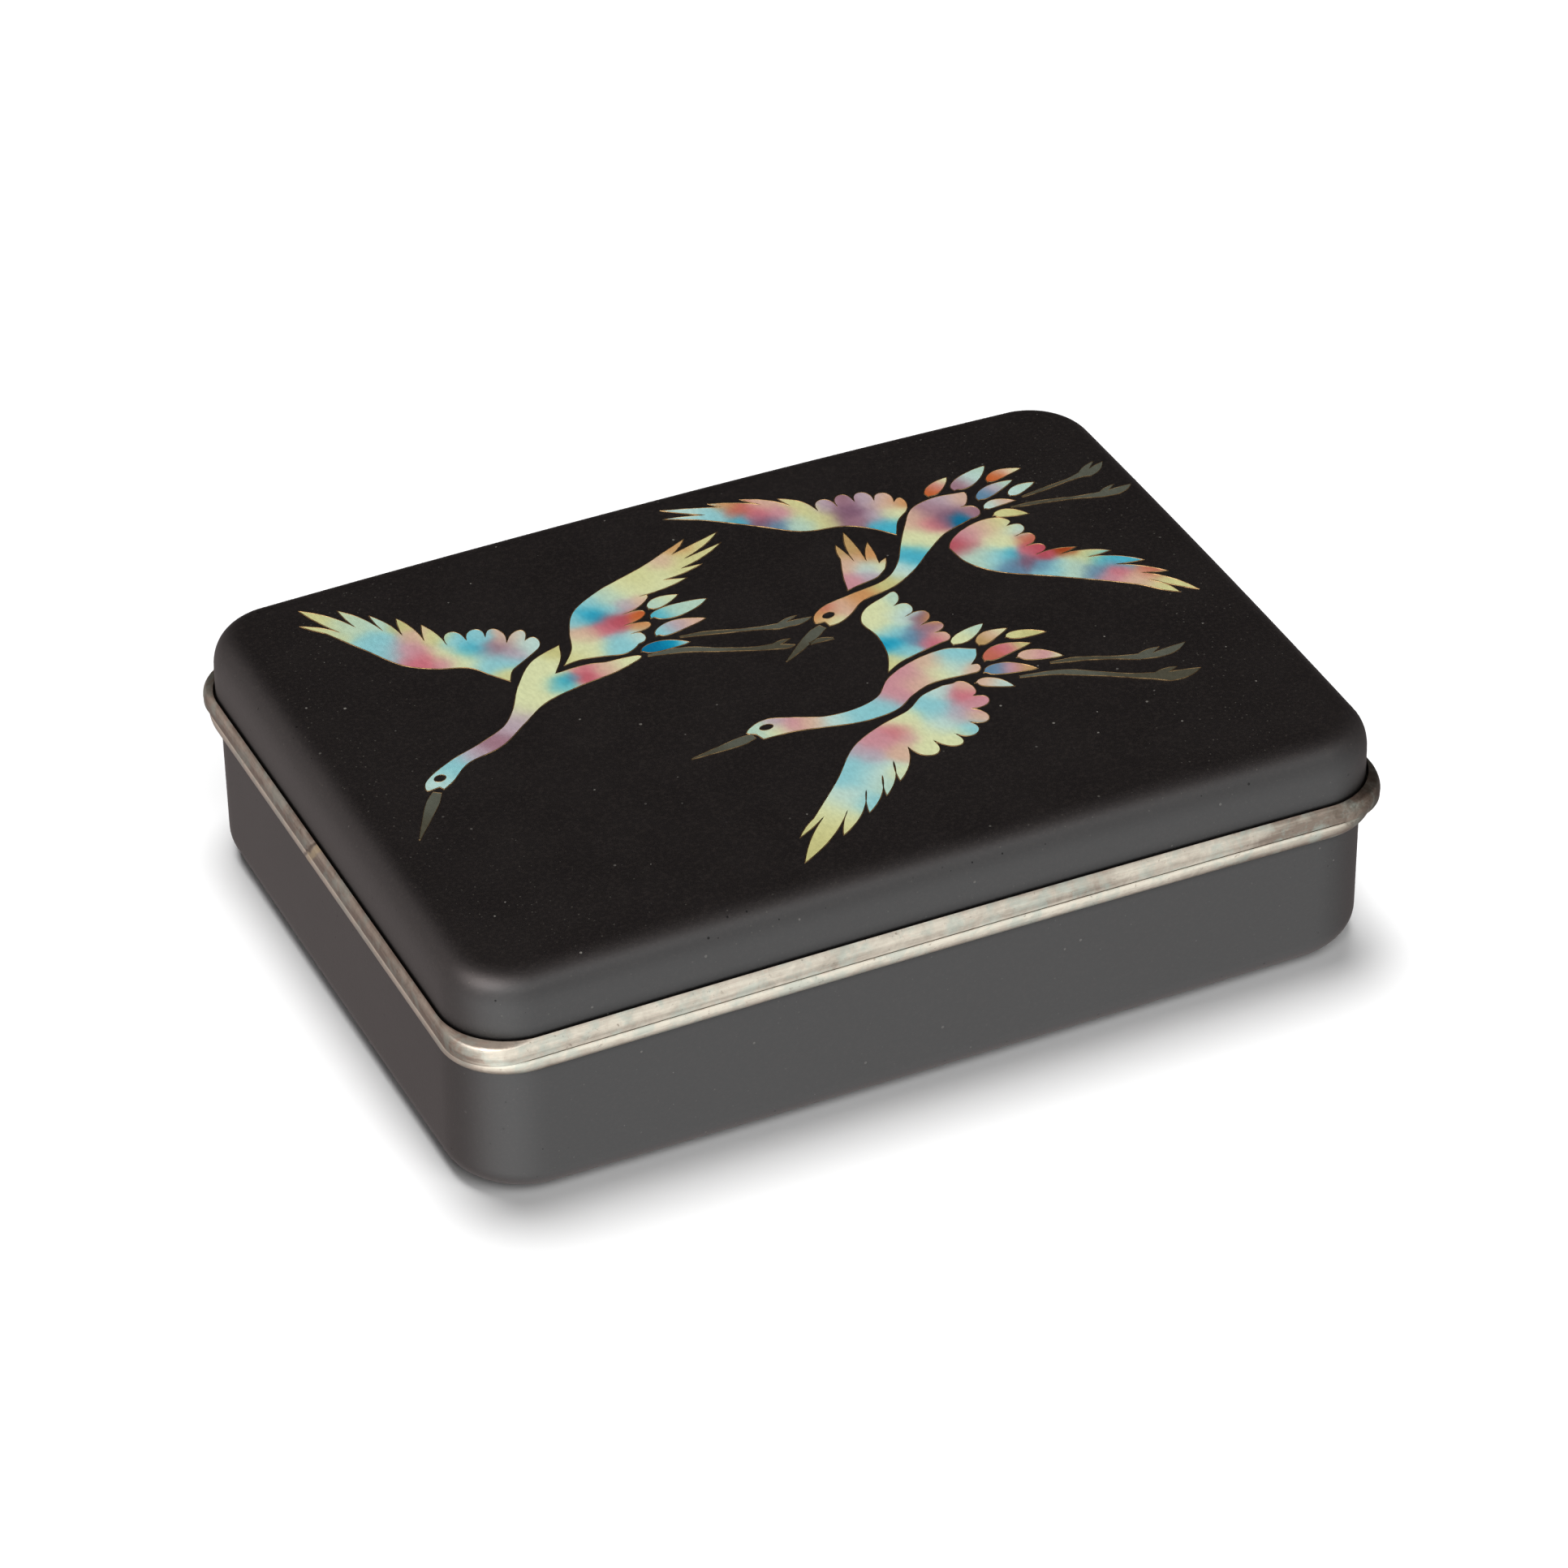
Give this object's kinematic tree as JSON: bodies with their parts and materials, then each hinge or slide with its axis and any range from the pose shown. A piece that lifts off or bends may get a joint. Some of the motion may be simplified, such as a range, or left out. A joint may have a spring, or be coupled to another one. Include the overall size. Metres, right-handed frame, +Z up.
{
  "type": "cloisonne box",
  "caption": "Small rectangular enamelled trinket box with rounded corners, silver rims and a lift-off lid inlaid with flying cranes.",
  "frame": {"origin": "middle of the underside, on the surface that the box stands on", "axes": "+X along the long side, +Y from the front to the back, +Z up through the lid"},
  "size_m": [0.1204, 0.0882, 0.0318],
  "materials": {
    "base_enamel": "satin black enamel",
    "base_rim_silver": "tarnished silver",
    "lid_enamel": "satin black enamel with wired, softly blended coloured enamel",
    "lid_rim_silver": "tarnished silver"
  },
  "bodies": {
    "root": {"base_box": "base_enamel", "base_rim": "base_rim_silver", "lid": "lid_enamel", "lid_rim": "lid_rim_silver"}
  },
  "joints": []
}
